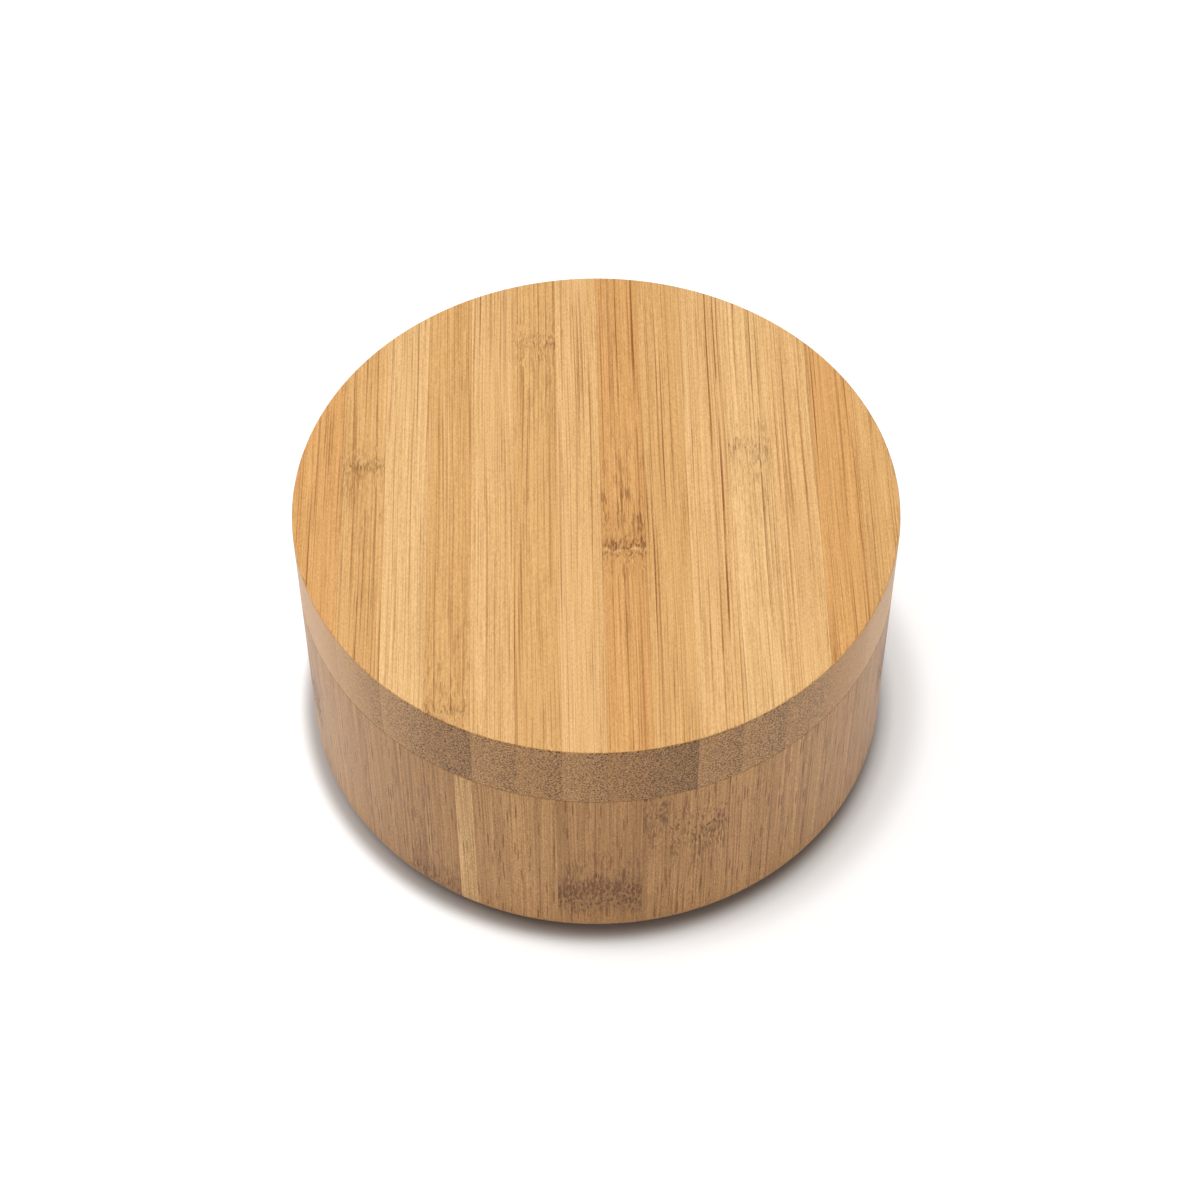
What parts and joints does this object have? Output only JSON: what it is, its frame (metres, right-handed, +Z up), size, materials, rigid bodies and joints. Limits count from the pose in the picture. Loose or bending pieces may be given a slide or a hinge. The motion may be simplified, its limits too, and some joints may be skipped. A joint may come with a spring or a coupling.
{
  "type": "shaving bowl",
  "caption": "Round shaving bowl of laminated bamboo with upright staves, a rounded foot and a thick flush lid that lifts off a shallow plug.",
  "frame": {"origin": "middle of the bowl's underside, on the surface that it stands on", "axes": "+Z up along the turning axis, -Y towards the front, where the lid's laths show their end grain; the lid's grain runs along Y"},
  "size_m": [0.11, 0.11, 0.06],
  "materials": {
    "lid_amber": "side-pressed bamboo, grain lengthwise, sanded, thin satin lacquer",
    "lid_honey": "side-pressed bamboo, grain lengthwise, sanded, thin satin lacquer",
    "lid_tan": "side-pressed bamboo, grain lengthwise, sanded, thin satin lacquer",
    "lid_pale": "side-pressed bamboo, grain lengthwise, sanded, thin satin lacquer",
    "wall_brown": "upright bamboo grain, turned and sanded, thin satin lacquer",
    "wall_tan": "upright bamboo grain, turned and sanded, thin satin lacquer",
    "wall_pale": "upright bamboo grain, turned and sanded, thin satin lacquer",
    "base_tan": "side-pressed bamboo, sanded, satin lacquer",
    "base_honey": "side-pressed bamboo, sanded, satin lacquer"
  },
  "bodies": {
    "lid": {"lid_lath_01": "lid_amber", "lid_lath_02": "lid_honey", "lid_lath_03": "lid_pale", "lid_lath_04": "lid_honey", "lid_lath_05": "lid_tan", "lid_lath_06": "lid_honey", "lid_lath_07": "lid_tan", "lid_lath_08": "lid_amber", "lid_lath_09": "lid_honey", "lid_lath_10": "lid_tan", "lid_lath_11": "lid_pale", "lid_lath_12": "lid_tan", "lid_lath_13": "lid_amber", "lid_lath_14": "lid_honey"},
    "bowl": {"bowl_stave_01": "wall_brown", "bowl_stave_02": "wall_pale", "bowl_stave_03": "wall_tan", "bowl_stave_04": "wall_brown", "bowl_stave_05": "wall_brown", "bowl_stave_06": "wall_tan", "bowl_stave_07": "wall_tan", "bowl_stave_08": "wall_tan", "bowl_stave_09": "wall_tan", "bowl_stave_10": "wall_brown", "bowl_stave_11": "wall_tan", "bowl_stave_12": "wall_tan", "bowl_stave_13": "wall_brown", "bowl_stave_14": "wall_tan", "bowl_stave_15": "wall_tan", "bowl_stave_16": "wall_brown", "bowl_stave_17": "wall_tan", "bowl_stave_18": "wall_tan", "bowl_stave_19": "wall_brown", "bowl_stave_20": "wall_tan", "bowl_stave_21": "wall_tan", "bowl_stave_22": "wall_brown", "bowl_stave_23": "wall_tan", "bowl_stave_24": "wall_tan", "bowl_stave_25": "wall_brown", "base_lath_01": "base_honey", "base_lath_02": "base_tan", "base_lath_03": "base_honey", "base_lath_04": "base_tan", "base_lath_05": "base_honey", "base_lath_06": "base_tan", "base_lath_07": "base_honey", "base_lath_08": "base_tan", "base_lath_09": "base_honey", "base_lath_10": "base_tan", "base_lath_11": "base_honey", "base_lath_12": "base_tan"}
  },
  "joints": [
    {"name": "lid_lift", "type": "slide", "parent": "bowl", "child": "lid", "axis": [0, 0, 1], "range_m": [0, 0.06]}
  ]
}
